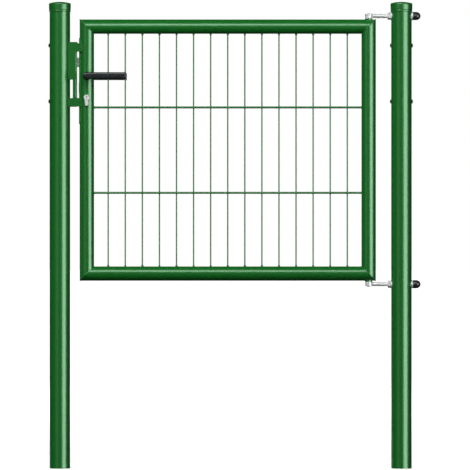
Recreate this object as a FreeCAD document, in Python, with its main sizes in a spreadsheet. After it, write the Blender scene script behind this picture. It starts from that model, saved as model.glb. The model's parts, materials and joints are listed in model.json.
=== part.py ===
import FreeCAD, Part
import math
import os
import Sketcher

# Single-leaf garden gate between two round posts.
# X runs to the right along the gate, Y away from the viewer and Z up. The origin is
# the centre of the hinge post's foot. All sizes are in millimetres.

sizes = {
    "postSpacing": 1000,  # between the axes of the two posts
    "postDiameter": 60,
    "postWall": 2,
    "capWall": 1.5,
    "capClearance": 0.1,
    "capGap": 0.25,  # between the upper hinge's washer and the cap's lower edge
    "capSkirt": 20.7,  # how far the cap reaches down over the tube
    "capFlare": 0.6,  # how much wider the skirt is at its top
    "capCrown": 4,  # from the tube's end to the cap's shoulder
    "capDome": 4.5,  # from the shoulder to the middle of the dome
    "capEdge": 2.5,
    "hingeGap": 45,  # between the hinge post and the leaf
    "latchGap": 28,  # between the leaf and the latch post
    "leafBottom": 549,  # the leaf's lower edge above the posts' feet
    "leafHeight": 765,
    "frameDiameter": 42,
    "frameWall": 2,
    "wireDiameter": 4,
    "wirePitch": 50,
    "crossWireDiameter": 6,
    "crossWirePitch": 250,
    "wireBite": 0.4,  # how deep the welded wires sink into each other
    "bossDiameter": 21,
    "bossHeight": 2.3,
    "pinDiameter": 10,
    "pinProud": 1.5,  # the pin's end beyond the eye
    "pinClearance": 0.25,
    "washerThickness": 1.5,
    "eyeDiameter": 21,
    "boltDiameter": 12,
    "boltClearance": 0.3,
    "innerWasherThickness": 1.5,
    "innerNutHeight": 8.5,
    "outerWasherThickness": 3.5,
    "outerNutHeight": 10,
    "nutAcrossFlats": 19,
    "washerDiameter": 24,
    "saddleReach": 15,  # how far a saddle washer's disc is drawn before it is hollowed
    "nutCapWall": 0.93,
    "nutCapLength": 22.5,
    "boltTail": 3,  # the bolt's end beyond its outer nut
    "leverDrop": 166,  # the lever's axis below the leaf's upper edge
    "keeperTop": 99.5,  # above the lever's axis
    "keeperBottom": 89.3,  # below the lever's axis
    "keeperSheet": 3,
    "keeperBend": 4,
    "strikeGap": 6,  # between the keeper and the faceplate
    "stopBite": 4,  # how far the stop lugs stand in from the front of the round stile
    "stopClearance": 0.4,
    "lugHeight": 24.6,
    "lugShoulder": 4,
    "lugRoot": 1,  # how far a lug reaches into the keeper's flange
    "notchHeight": 55,
    "notchDepth": 13.5,
    "keeperBoltInsetTop": 9.7,
    "keeperBoltInsetBottom": 15.2,
    "keeperBoltDiameter": 6,
    "keeperBoltClearance": 0.2,
    "keeperNutFlats": 10,
    "keeperNutHeight": 5,
    "domeDiameter": 12,  # the heads of the keeper's bolts and of the post's plugs
    "domeHeight": 3.8,
    "plugShank": 8,
    "plugLength": 9,
    "faceplateWidth": 24,
    "faceplateTop": 111.6,
    "faceplateBottom": 140.4,
    "faceplateProud": 1.7,
    "seatClearance": 0.1,
    "caseThickness": 16,
    "caseWall": 2,
    "caseGap": 0.5,  # between the case and the far wall of the stile
    "caseMargin": 12,
    "latchUp": 40.9,  # from the lever's axis up to the middle of the latch
    "latchHeight": 27,
    "latchThickness": 12,
    "latchReach": 12.4,  # beyond the faceplate
    "latchLength": 27,
    "latchShoulder": 1,
    "latchClearance": 0.3,
    "windowClearance": 3,
    "deadBoltDown": 37.6,
    "deadBoltHeight": 35,
    "deadBoltLength": 15,
    "deadBoltProud": 0.9,
    "cylinderDown": 63.4,
    "cylinderDiameter": 17,
    "cylinderWidth": 10,
    "cylinderHeight": 33,
    "cylinderLength": 54,
    "plugDiameter": 12.5,  # the round key plug in the cylinder
    "plugStep": 0.6,
    "keywayWidth": 2.6,
    "keywayHeight": 8,
    "keywayDepth": 6,
    "rosetteDiameter": 24,
    "rosetteThickness": 3,
    "leverClearance": 0.3,
    "neckDiameter": 17,
    "gripOffset": 32,  # from the stile's surface to the middle of the grip
    "gripHeight": 20,
    "gripDepth": 14,
    "gripEdge": 5.5,
    "gripLength": 116,
    "gripFlare": 0.5,
    "gripFlareLength": 5,
    "spindleWidth": 8,
}

doc = FreeCAD.newDocument("gate")
sheet = doc.addObject("Spreadsheet::Sheet", "Sizes")
for row, (alias, number) in enumerate(sizes.items(), start=1):
    sheet.set("A%d" % row, alias)
    sheet.set("B%d" % row, str(number))
    sheet.setAlias("B%d" % row, alias)
doc.recompute()

# Places that follow from the sizes, as expressions over the sheet
leafWidth = "(Sizes.postSpacing - Sizes.postDiameter - Sizes.hingeGap - Sizes.latchGap)"
postRadius = "(Sizes.postDiameter / 2)"
frameRadius = "(Sizes.frameDiameter / 2)"
latchPostX = "(-Sizes.postSpacing)"
hingeX = f"(-({postRadius} + Sizes.hingeGap + {frameRadius}))"
stileX = f"({hingeX} - {leafWidth} + Sizes.frameDiameter)"
leafMiddleX = f"(({hingeX} + {stileX}) / 2)"
leafTop = "(Sizes.leafBottom + Sizes.leafHeight)"
eyeOffset = "(Sizes.bossHeight + Sizes.washerThickness + Sizes.pinClearance + Sizes.boltDiameter / 2)"
upperEyeZ = f"({leafTop} + {eyeOffset})"
lowerEyeZ = f"(Sizes.leafBottom - {eyeOffset})"
leverZ = f"({leafTop} - Sizes.leverDrop)"
capLow = f"({upperEyeZ} + Sizes.washerDiameter / 2 + Sizes.capGap)"
faceplateX = f"({stileX} - {frameRadius} - Sizes.faceplateProud)"
webX = f"({faceplateX} - Sizes.strikeGap)"
keeperBoltRise = ("(Sizes.keeperTop - Sizes.keeperBoltInsetTop)", "(Sizes.keeperBoltInsetBottom - Sizes.keeperBottom)")
keeperBoltZ = [f"({leverZ} + {rise})" for rise in keeperBoltRise]
latchZ = f"({leverZ} + Sizes.latchUp)"
caseTop = "(Sizes.latchUp + Sizes.latchHeight / 2 + Sizes.caseMargin)"
caseBottom = "(Sizes.cylinderDown - Sizes.cylinderDiameter / 2 + Sizes.cylinderHeight + Sizes.caseMargin)"


def value(expression):
    return float(sheet.evalExpression(expression))


def placeBody(piece, x="0", y="0", z="0", turn=None):
    if turn:
        piece.Placement = FreeCAD.Placement(FreeCAD.Vector(), FreeCAD.Rotation(*turn))
    piece.setExpression("Placement.Base.x", x)
    piece.setExpression("Placement.Base.y", y)
    piece.setExpression("Placement.Base.z", z)


def newBody(name, x="0", y="0", z="0", turn=None):
    body = doc.addObject("PartDesign::Body", name)
    body.Label = name
    placeBody(body, x, y, z, turn)
    return body


def newSketch(body, role, name, offset=None):
    sketch = body.newObject("Sketcher::SketchObject", body.Name + name)
    plane = next(p for p in body.Origin.OriginFeatures if p.Role == role)
    sketch.AttachmentSupport = [(plane, "")]
    sketch.MapMode = "FlatFace"
    if offset:
        sketch.setExpression("AttachmentOffset.Base.z", offset)
    return sketch


def dimension(sketch, kind, places, expression):
    index = sketch.addConstraint(Sketcher.Constraint(kind, *places, value(expression)))
    sketch.setExpression("Constraints[%d]" % index, expression)


def circle(sketch, radius, x="0", y="0"):
    middle = FreeCAD.Vector(value(x), value(y), 0)
    shape = Part.Circle(middle, FreeCAD.Vector(0, 0, 1), value(radius))
    index = sketch.addGeometry(shape, False)
    dimension(sketch, "Radius", (index,), radius)
    dimension(sketch, "DistanceX", (-1, 1, index, 3), x)
    dimension(sketch, "DistanceY", (-1, 1, index, 3), y)


# A closed outline. A corner is (x, y), or (x, y, radius, side) where the edge that
# leaves it is an arc: side is 1 where the arc's centre lies to the left, else -1.
def outline(sketch, corners):
    edges = []
    for number, corner in enumerate(corners):
        following = corners[(number + 1) % len(corners)]
        start = FreeCAD.Vector(value(corner[0]), value(corner[1]), 0)
        end = FreeCAD.Vector(value(following[0]), value(following[1]), 0)
        if len(corner) == 2:
            index = sketch.addGeometry(Part.LineSegment(start, end), False)
            edges.append((index, 1, 2))
            continue
        radius, side = value(corner[2]), corner[3]
        chord = end - start
        rise = math.sqrt(max(radius**2 - chord.Length**2 / 4, 0))
        across = FreeCAD.Vector(-chord.y, chord.x, 0).normalize()
        middle = (start + end) * 0.5 + across * (side * rise)
        first, last = (start, end) if side > 0 else (end, start)
        low = math.atan2(first.y - middle.y, first.x - middle.x)
        high = math.atan2(last.y - middle.y, last.x - middle.x)
        if high < low:
            high += 2 * math.pi
        whole = Part.Circle(middle, FreeCAD.Vector(0, 0, 1), radius)
        index = sketch.addGeometry(Part.ArcOfCircle(whole, low, high), False)
        edges.append((index, 1, 2) if side > 0 else (index, 2, 1))
    for number, (index, start, end) in enumerate(edges):
        following = edges[(number + 1) % len(edges)]
        sketch.addConstraint(Sketcher.Constraint("Coincident", index, end, following[0], following[1]))
        dimension(sketch, "DistanceX", (-1, 1, index, start), corners[number][0])
        dimension(sketch, "DistanceY", (-1, 1, index, start), corners[number][1])
        if len(corners[number]) > 2:
            dimension(sketch, "Radius", (index,), corners[number][2])


def rectangle(sketch, x0, y0, x1, y1):
    outline(sketch, [(x0, y0), (x1, y0), (x1, y1), (x0, y1)])


def pad(body, sketch, length, both=False, back=False):
    feature = body.newObject("PartDesign::Pad", sketch.Name + "Pad")
    feature.Profile = sketch
    feature.SideType = "Symmetric" if both else "One side"
    feature.Reversed = back
    feature.setExpression("Length", length)
    return feature


def pocket(body, sketch, length=None, back=False):
    feature = body.newObject("PartDesign::Pocket", sketch.Name + "Pocket")
    feature.Profile = sketch
    feature.Reversed = back
    if length:
        feature.setExpression("Length", length)
    else:
        feature.Type = "ThroughAll"
        feature.SideType = "Symmetric"
    return feature


def revolve(body, sketch, axis, kind="Revolution"):
    feature = body.newObject("PartDesign::" + kind, sketch.Name + "Turn")
    feature.Profile = sketch
    feature.ReferenceAxis = (sketch, [axis])
    feature.Angle = 360
    return feature


# Corners along an arc about (x, y), from one angle to another in degrees
def bandedArc(x, y, radius, first, last, bands):
    corners = []
    for number in range(bands + 1):
        angle = f"(({first} + ({last} - {first}) * {number} / {bands}) * 1 deg)"
        corners.append((f"({x} + {radius} * cos({angle}))", f"({y} + {radius} * sin({angle}))"))
    return corners


def cylinder(name, radius, height, x="0", y="0", z="0", turn=None):
    piece = doc.addObject("Part::Cylinder", name)
    piece.setExpression("Radius", radius)
    piece.setExpression("Height", height)
    placeBody(piece, x, y, z, turn)
    return piece


def cut(name, base, tool):
    piece = doc.addObject("Part::Cut", name)
    piece.Label = name
    piece.Base = base
    piece.Tool = tool
    return piece


alongX = (FreeCAD.Vector(0, 1, 0), 90)
upsideDown = (FreeCAD.Vector(1, 0, 0), 180)
nodes = []


def post(name, x, holes):
    body = newBody(name, x)
    ring = newSketch(body, "XY_Plane", "Ring")
    circle(ring, postRadius)
    circle(ring, f"{postRadius} - Sizes.postWall")
    pad(body, ring, f"{capLow} + Sizes.capSkirt")
    drilled = newSketch(body, "YZ_Plane", "Holes")
    for radius, z in holes:
        circle(drilled, radius, "0", z)
    pocket(body, drilled)
    nodes.append(body)


# A plastic cap, turned about the post's axis. Its height is counted from its lower edge.
def postCap(name, x):
    body = newBody(name, x, "0", capLow)
    inner = f"({postRadius} + Sizes.capClearance)"
    outer = f"({inner} + Sizes.capWall)"
    shoulder = "(Sizes.capSkirt + Sizes.capCrown)"
    crown = f"({outer} + Sizes.capFlare - Sizes.capEdge)"
    dome = f"(({crown} ^ 2 + Sizes.capDome ^ 2) / (2 * Sizes.capDome))"
    slope = f"(90 - asin({crown} / {dome}) / 1 deg)"
    half = newSketch(body, "XZ_Plane", "Profile")
    corners = [(inner, "0"), (outer, "0")]
    corners += bandedArc(crown, f"({shoulder} - Sizes.capEdge)", "Sizes.capEdge", "0", "90", 2)
    corners += bandedArc("0", f"({shoulder} + Sizes.capDome - {dome})", dome, slope, "90", 3)[1:-1]
    corners += [("0", f"{shoulder} + Sizes.capDome"), ("0", "Sizes.capSkirt"), (inner, "Sizes.capSkirt")]
    outline(half, corners)
    revolve(body, half, "V_Axis")
    nodes.append(body)


# The keeper is a channel folded from sheet, open towards the latch post. The edges of
# its two flanges sit on the round post, and two lugs of the front flange stop the leaf.
def keeper():
    body = newBody("keeper", latchPostX, "0", leverZ)
    web = f"({webX} - {latchPostX})"
    inside = f"({frameRadius} - Sizes.stopBite)"
    half = f"({inside} + Sizes.keeperSheet)"
    edge = f"(sqrt({postRadius} ^ 2 - {inside} ^ 2) + Sizes.seatClearance)"
    bend = "Sizes.keeperBend"
    inBend = "(Sizes.keeperBend - Sizes.keeperSheet)"
    back = f"({web} - Sizes.keeperSheet)"
    section = newSketch(body, "XY_Plane", "Section", "-Sizes.keeperBottom")
    outline(
        section,
        [
            (edge, f"-{half}"),
            (f"{web} - {bend}", f"-{half}", bend, 1),
            (web, f"-({half} - {bend})"),
            (web, f"{half} - {bend}", bend, 1),
            (f"{web} - {bend}", half),
            (edge, half),
            (edge, inside),
            (f"{back} - {inBend}", inside, inBend, -1),
            (back, f"{inside} - {inBend}"),
            (back, f"-({inside} - {inBend})", inBend, -1),
            (f"{back} - {inBend}", f"-{inside}"),
            (edge, f"-{inside}"),
        ],
    )
    pad(body, section, "Sizes.keeperTop + Sizes.keeperBottom")
    lugs = newSketch(body, "XZ_Plane", "Lugs", inside)
    root = f"({web} - {bend} - Sizes.lugRoot)"
    tip = f"({stileX} - {latchPostX} - sqrt(({frameRadius} + Sizes.stopClearance) ^ 2 - {inside} ^ 2))"
    low = "(-Sizes.keeperBottom)"
    high = "(Sizes.keeperTop - Sizes.lugShoulder)"
    rectangle(lugs, root, low, tip, f"{low} + Sizes.lugHeight")
    outline(
        lugs,
        [
            (root, f"{high} - Sizes.lugHeight"),
            (tip, f"{high} - Sizes.lugHeight"),
            (tip, high),
            (f"{web} + Sizes.lugShoulder", high),
            (web, "Sizes.keeperTop"),
            (root, "Sizes.keeperTop"),
        ],
    )
    pad(body, lugs, "Sizes.keeperSheet")
    notch = newSketch(body, "XZ_Plane", "Notch")
    notchLow = f"({low} + Sizes.lugHeight)"
    rectangle(notch, "0", notchLow, f"{edge} + Sizes.notchDepth", f"{notchLow} + Sizes.notchHeight")
    pocket(body, notch)
    windows = newSketch(body, "YZ_Plane", "Windows", back)
    side = "(Sizes.latchThickness / 2 + Sizes.windowClearance)"
    for middle, height in (("Sizes.latchUp", "Sizes.latchHeight"), ("(-Sizes.deadBoltDown)", "Sizes.deadBoltHeight")):
        reach = f"({height} / 2 + Sizes.windowClearance)"
        rectangle(windows, f"-{side}", f"{middle} - {reach}", side, f"{middle} + {reach}")
    hole = "Sizes.keeperBoltDiameter / 2 + Sizes.keeperBoltClearance"
    for rise in keeperBoltRise:
        circle(windows, hole, "0", rise)
    pocket(body, windows, "2 * Sizes.keeperSheet", back=True)
    nodes.append(body)


# A bolt with a domed head, turned about its own axis. The head's seat is at x = 0.
def domedBolt(name, x, z, shank, length, turn=None):
    body = newBody(name, x, "0", z, turn)
    rim = "(Sizes.domeDiameter / 2)"
    dome = f"(({rim} ^ 2 + Sizes.domeHeight ^ 2) / (2 * Sizes.domeHeight))"
    slope = f"(180 - asin({rim} / {dome}) / 1 deg)"
    half = newSketch(body, "XY_Plane", "Profile")
    corners = [("-Sizes.domeHeight", "0"), (length, "0"), (length, shank), ("0", shank)]
    corners += bandedArc(f"({dome} - Sizes.domeHeight)", "0", dome, slope, "180", 3)[:-1]
    outline(half, corners)
    revolve(body, half, "H_Axis")
    return body


# A hexagonal nut with turned corners. It stands on x and points along X.
def hexNut(name, x, z, across, bore, height):
    body = newBody(name, x, "0", z, alongX)
    corner = f"({across} / sqrt(3))"
    hexagon = newSketch(body, "XY_Plane", "Hexagon")
    outline(hexagon, [(f"{corner} * cos({60 * n} deg)", f"{corner} * sin({60 * n} deg)") for n in range(6)])
    pad(body, hexagon, height)
    out = f"({corner} + Sizes.seatClearance)"
    drop = f"(({out} - {across} / 2) * tan(30 deg))"
    corners = newSketch(body, "XZ_Plane", "Corners")
    outline(corners, [(f"{across} / 2", "0"), (out, "0"), (out, drop)])
    outline(corners, [(f"{across} / 2", height), (out, f"{height} - {drop}"), (out, height)])
    revolve(body, corners, "V_Axis", "Groove")
    hole = newSketch(body, "XY_Plane", "Bore")
    circle(hole, f"{bore} / 2 + Sizes.seatClearance")
    pocket(body, hole)
    nodes.append(body)


# An eyebolt: the eye lies flat round the hinge pin and the shank runs through the post.
def eyebolt(name, z):
    body = newBody(name, hingeX, "0", z)
    eye = newSketch(body, "XY_Plane", "Eye")
    circle(eye, "Sizes.eyeDiameter / 2")
    pad(body, eye, "Sizes.boltDiameter", both=True)
    shank = newSketch(body, "YZ_Plane", "Shank", "Sizes.eyeDiameter / 2 - Sizes.boltDiameter / 4")
    circle(shank, "Sizes.boltDiameter / 2")
    outside = f"(-{hingeX} + {postRadius} + Sizes.outerWasherThickness + Sizes.outerNutHeight)"
    tail = f"{outside} + Sizes.boltTail - (Sizes.eyeDiameter / 2 - Sizes.boltDiameter / 4)"
    pad(body, shank, tail)
    bore = newSketch(body, "XY_Plane", "Bore")
    circle(bore, "Sizes.pinDiameter / 2 + Sizes.pinClearance")
    pocket(body, bore)
    nodes.append(body)


# A washer whose inner face is hollowed to sit on the round post
def saddleWasher(name, x, z):
    disc = cylinder(name + "Disc", "Sizes.washerDiameter / 2", "Sizes.saddleReach", x, "0", z, alongX)
    bore = "Sizes.boltDiameter / 2 + Sizes.boltClearance"
    hole = cylinder(name + "Bore", bore, "Sizes.saddleReach", x, "0", z, alongX)
    drilled = cut(name + "Ring", disc, hole)
    drilled.Label = name + "Ring"
    seat = f"({postRadius} + Sizes.seatClearance)"
    tube = cylinder(name + "Seat", seat, "2 * Sizes.washerDiameter", "0", "0", f"{z} - Sizes.washerDiameter")
    nodes.append(cut(name, drilled, tube))


# A plastic cap that hides the outer nut: a dome with a hexagonal pocket
def nutCap(name, z):
    base = f"({postRadius} + Sizes.outerWasherThickness)"
    body = newBody(name, base, "0", z)
    corner = "(Sizes.nutAcrossFlats / sqrt(3) + Sizes.seatClearance)"
    radius = f"({corner} + Sizes.nutCapWall)"
    straight = f"(Sizes.nutCapLength - {radius})"
    half = newSketch(body, "XY_Plane", "Profile")
    corners = [("0", "0"), ("Sizes.nutCapLength", "0")]
    corners += bandedArc(straight, "0", radius, "0", "90", 4)[1:]
    corners += [("0", radius)]
    outline(half, corners)
    revolve(body, half, "H_Axis")
    recess = newSketch(body, "YZ_Plane", "Recess")
    outline(recess, [(f"{corner} * sin({60 * n} deg)", f"{corner} * cos({60 * n} deg)") for n in range(6, 0, -1)])
    pocket(body, recess, "Sizes.outerNutHeight + Sizes.seatClearance", back=True)
    bore = newSketch(body, "YZ_Plane", "Bore")
    circle(bore, "Sizes.boltDiameter / 2 + Sizes.seatClearance")
    pocket(body, bore, "Sizes.outerNutHeight + Sizes.boltTail + Sizes.seatClearance", back=True)
    nodes.append(body)


def hinge(side, z):
    eyebolt(side + "_eyebolt", z)
    inner = f"(-({postRadius} + Sizes.innerWasherThickness))"
    saddleWasher(side + "_inner_washer", inner, z)
    bolt = ("Sizes.nutAcrossFlats", "Sizes.boltDiameter")
    hexNut(side + "_inner_nut", f"{inner} - Sizes.innerNutHeight", z, *bolt, "Sizes.innerNutHeight")
    outer = f"({postRadius} + Sizes.outerWasherThickness)"
    saddleWasher(side + "_outer_washer", f"{outer} - Sizes.saddleReach", z)
    hexNut(side + "_outer_nut", outer, z, *bolt, "Sizes.outerNutHeight")
    nutCap(side + "_nut_cap", z)


# One tube of the leaf's frame, with both ends cut to a mitre. The tube runs along the
# local Z axis, and the frame's outer side is at local +X.
def frameTube(name, length, x, z, turn=None, holes=None):
    body = newBody(name, x, "0", z, turn)
    half = f"({length} / 2)"
    ring = newSketch(body, "XY_Plane", "Ring")
    circle(ring, frameRadius)
    circle(ring, f"{frameRadius} - Sizes.frameWall")
    pad(body, ring, length, both=True)
    ends = newSketch(body, "XZ_Plane", "Mitres")
    over = "Sizes.frameWall"
    for sign in ("", "-"):
        outline(
            ends,
            [
                (f"{frameRadius} + {over}", f"{sign}({half} + {over})"),
                (f"-({frameRadius} + {over})", f"{sign}({half} + {over})"),
                (f"-({frameRadius} + {over})", f"{sign}({half} - Sizes.frameDiameter - {over})"),
            ],
        )
    pocket(body, ends)
    if holes:
        holes(body)
    nodes.append(body)


# The latch stile is slotted for the lock case and cut through for its lever and cylinder
def lockCutOuts(body):
    lever = f"({leverZ} - Sizes.leafBottom - Sizes.leafHeight / 2)"
    slot = newSketch(body, "YZ_Plane", "Slot")
    side = "(Sizes.caseThickness / 2 + Sizes.latchClearance)"
    low = f"{lever} - {caseBottom} - Sizes.latchClearance"
    rectangle(slot, f"-{side}", low, side, f"{lever} + {caseTop} + Sizes.latchClearance")
    pocket(body, slot, frameRadius, back=True)
    across = newSketch(body, "XZ_Plane", "LeverHole")
    circle(across, "Sizes.spindleWidth", "0", lever)
    pocket(body, across)
    profile = newSketch(body, "XZ_Plane", "CylinderHole")
    cylinderOutline(profile, f"{lever} - Sizes.cylinderDown", "Sizes.latchClearance")
    pocket(body, profile)


# The outline of a profile cylinder: a round barrel with a narrower lobe below it
def cylinderOutline(sketch, z, margin="0", mirror=""):
    barrel = f"(Sizes.cylinderDiameter / 2 + {margin})"
    lobe = f"(Sizes.cylinderWidth / 2 + {margin})"
    foot = f"({z} + Sizes.cylinderDiameter / 2 - Sizes.cylinderHeight + Sizes.cylinderWidth / 2)"
    meet = f"({z} - sqrt({barrel} ^ 2 - {lobe} ^ 2))"
    outline(
        sketch,
        [
            (f"-{lobe}", foot, lobe, 1),
            ("0", f"{foot} - {lobe}", lobe, 1),
            (lobe, foot),
            (lobe, meet, barrel, 1),
            (barrel, z, barrel, 1),
            ("0", f"{z} + {barrel}", barrel, 1),
            (f"-{barrel}", z, barrel, 1),
            (f"-{lobe}", meet),
        ],
    )


# The welded mesh: upright wires with a cross wire in front of and behind them
def meshPanel():
    inside = "(Sizes.leafHeight - 2 * Sizes.frameDiameter)"
    across = f"({leafWidth} - 2 * Sizes.frameDiameter)"
    middleZ = "(Sizes.leafBottom + Sizes.leafHeight / 2)"
    wires = []
    count = int(value(f"{across} / Sizes.wirePitch"))
    for number in range(count):
        step = number - (count - 1) / 2
        wire = doc.addObject("Part::Prism", "wire%d" % (number + 1))
        wire.Polygon = 8
        wire.setExpression("Circumradius", "Sizes.wireDiameter / 2")
        wire.setExpression("Height", f"{inside} - 2 * Sizes.seatClearance")
        x = f"{leafMiddleX} + {step} * Sizes.wirePitch"
        placeBody(wire, x, "0", f"{middleZ} - {inside} / 2 + Sizes.seatClearance")
        wires.append(wire)
    offset = "(Sizes.wireDiameter / 2 + Sizes.crossWireDiameter / 2 - Sizes.wireBite)"
    levels = int(value(f"{inside} / Sizes.crossWirePitch"))
    for level in range(levels):
        z = f"{middleZ} + {level - (levels - 1) / 2} * Sizes.crossWirePitch"
        for side in (-1, 1):
            wire = doc.addObject("Part::Prism", "crossWire")
            wire.Polygon = 8
            wire.setExpression("Circumradius", "Sizes.crossWireDiameter / 2")
            wire.setExpression("Height", f"{across} - 2 * Sizes.seatClearance")
            x = f"{leafMiddleX} - {across} / 2 + Sizes.seatClearance"
            placeBody(wire, x, f"{side} * {offset}", z, alongX)
            wires.append(wire)
    panel = doc.addObject("Part::MultiFuse", "mesh_panel")
    panel.Label = "mesh_panel"
    panel.Shapes = wires
    nodes.append(panel)


# A hinge pin on its boss, which is hollowed below to sit on the rail. The pin stands at
# the local origin, where the boss meets the top of the rail, and points along local Z.
def hingePin(name, z, turn=None):
    body = newBody(name, hingeX, "0", z, turn)
    pin = "(Sizes.pinDiameter / 2)"
    boss = "(Sizes.bossDiameter / 2)"
    top = "(Sizes.bossHeight + Sizes.washerThickness + Sizes.pinClearance + Sizes.boltDiameter + Sizes.pinProud)"
    half = newSketch(body, "XZ_Plane", "Profile")
    sunk = f"(-{frameRadius} / 2)"
    outline(half, [("0", sunk), (boss, sunk), (boss, "Sizes.bossHeight"), (pin, "Sizes.bossHeight"), (pin, top), ("0", top)])
    revolve(body, half, "V_Axis")
    seat = newSketch(body, "YZ_Plane", "Seat")
    circle(seat, f"{frameRadius} + Sizes.seatClearance", "0", f"-{frameRadius}")
    pocket(body, seat)
    nodes.append(body)


def hingeWasher(name, z):
    disc = cylinder(name + "Disc", "Sizes.bossDiameter / 2", "Sizes.washerThickness", hingeX, "0", z)
    bore = "Sizes.pinDiameter / 2 + Sizes.seatClearance"
    tool = cylinder(name + "Bore", bore, "Sizes.washerThickness", hingeX, "0", z)
    nodes.append(cut(name, disc, tool))


# The faceplate's back is hollowed to sit on the round stile
def faceplate():
    body = newBody("lock_faceplate", stileX, "0", leverZ)
    seat = f"({frameRadius} + Sizes.seatClearance)"
    side = "(Sizes.faceplateWidth / 2)"
    face = f"(-({frameRadius} + Sizes.faceplateProud))"
    section = newSketch(body, "XY_Plane", "Section", "-Sizes.faceplateBottom")
    edge = f"(-sqrt({seat} ^ 2 - {side} ^ 2))"
    outline(
        section,
        [
            (face, f"-{side}"),
            (edge, f"-{side}", seat, -1),
            (edge, side),
            (face, side),
        ],
    )
    pad(body, section, "Sizes.faceplateTop + Sizes.faceplateBottom")
    windows = newSketch(body, "YZ_Plane", "Windows")
    boltWindows(windows, "Sizes.latchClearance")
    pocket(body, windows)
    nodes.append(body)


def boltWindows(sketch, margin):
    side = f"(Sizes.latchThickness / 2 + {margin})"
    for middle, height in (("Sizes.latchUp", "Sizes.latchHeight"), ("(-Sizes.deadBoltDown)", "Sizes.deadBoltHeight")):
        reach = f"({height} / 2 + {margin})"
        rectangle(sketch, f"-{side}", f"{middle} - {reach}", side, f"{middle} + {reach}")


def lockCase():
    body = newBody("lock_case", stileX, "0", leverZ)
    front = f"(-sqrt({frameRadius} ^ 2 - Sizes.caseThickness ^ 2 / 4))"
    bore = f"({frameRadius} - Sizes.frameWall)"
    back = f"(sqrt({bore} ^ 2 - Sizes.caseThickness ^ 2 / 4) - Sizes.caseGap)"
    section = newSketch(body, "XZ_Plane", "Section")
    rectangle(section, front, f"-{caseBottom}", back, caseTop)
    pad(body, section, "Sizes.caseThickness", both=True)
    windows = newSketch(body, "YZ_Plane", "Windows", front)
    boltWindows(windows, "Sizes.latchClearance")
    pocket(body, windows, f"{back} - {front} - Sizes.caseWall", back=True)
    across = newSketch(body, "XZ_Plane", "LeverHole")
    circle(across, "Sizes.spindleWidth / sqrt(2) + Sizes.latchClearance")
    pocket(body, across)
    profile = newSketch(body, "XZ_Plane", "CylinderHole")
    cylinderOutline(profile, "(-Sizes.cylinderDown)", "Sizes.seatClearance")
    pocket(body, profile)
    nodes.append(body)


def deadBolt():
    body = newBody("dead_bolt", faceplateX, "0", leverZ)
    section = newSketch(body, "YZ_Plane", "Section", "-Sizes.deadBoltProud")
    side = "(Sizes.latchThickness / 2)"
    reach = "(Sizes.deadBoltHeight / 2)"
    middle = "(-Sizes.deadBoltDown)"
    rectangle(section, f"-{side}", f"{middle} - {reach}", side, f"{middle} + {reach}")
    pad(body, section, "Sizes.deadBoltLength")
    nodes.append(body)


# The lock's profile cylinder. At both ends a round key plug stands proud, with a keyway.
def lockCylinder():
    body = newBody("lock_cylinder", stileX, "0", leverZ)
    profile = newSketch(body, "XZ_Plane", "Profile")
    cylinderOutline(profile, "(-Sizes.cylinderDown)")
    pad(body, profile, "Sizes.cylinderLength", both=True)
    plug = newSketch(body, "XZ_Plane", "Plug")
    circle(plug, "Sizes.plugDiameter / 2", "0", "-Sizes.cylinderDown")
    pad(body, plug, "Sizes.cylinderLength + 2 * Sizes.plugStep", both=True)
    for name, sign in (("FrontKeyway", ""), ("BackKeyway", "-")):
        keyway = newSketch(body, "XZ_Plane", name, f"{sign}(Sizes.cylinderLength / 2 + Sizes.plugStep)")
        side = "(Sizes.keywayWidth / 2)"
        reach = "(Sizes.keywayHeight / 2)"
        middle = "-Sizes.cylinderDown"
        rectangle(keyway, f"-{side}", f"{middle} - {reach}", side, f"{middle} + {reach}")
        pocket(body, keyway, "Sizes.keywayDepth", back=bool(sign))
    nodes.append(body)


# The latch has its slanted side towards the front, where it meets the keeper on closing
def latchBolt():
    body = newBody("latch_bolt", faceplateX, "0", latchZ)
    side = "(Sizes.latchThickness / 2)"
    tip = "(-Sizes.latchReach)"
    section = newSketch(body, "XY_Plane", "Section")
    outline(
        section,
        [
            (tip, side),
            (tip, f"{side} / 2"),
            ("-Sizes.latchShoulder", f"-{side}"),
            (f"{tip} + Sizes.latchLength", f"-{side}"),
            (f"{tip} + Sizes.latchLength", side),
        ],
    )
    pad(body, section, "Sizes.latchHeight", both=True)
    nodes.append(body)


# A rosette between the stile and the lever, hollowed to sit on the round stile
def rosette(name, side):
    turn = (FreeCAD.Vector(1, 0, 0), 90 * side)
    height = f"({frameRadius} / 2 + Sizes.rosetteThickness)"
    start = f"({-side} * {frameRadius} / 2)"
    disc = cylinder(name + "Disc", "Sizes.rosetteDiameter / 2", height, stileX, start, leverZ, turn)
    hole = cylinder(name + "Bore", "Sizes.spindleWidth", height, stileX, start, leverZ, turn)
    drilled = cut(name + "Ring", disc, hole)
    seat = f"{frameRadius} + Sizes.seatClearance"
    tube = cylinder(name + "Seat", seat, "2 * Sizes.rosetteDiameter", stileX, "0", f"{leverZ} - Sizes.rosetteDiameter")
    nodes.append(cut(name, drilled, tube))


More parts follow.
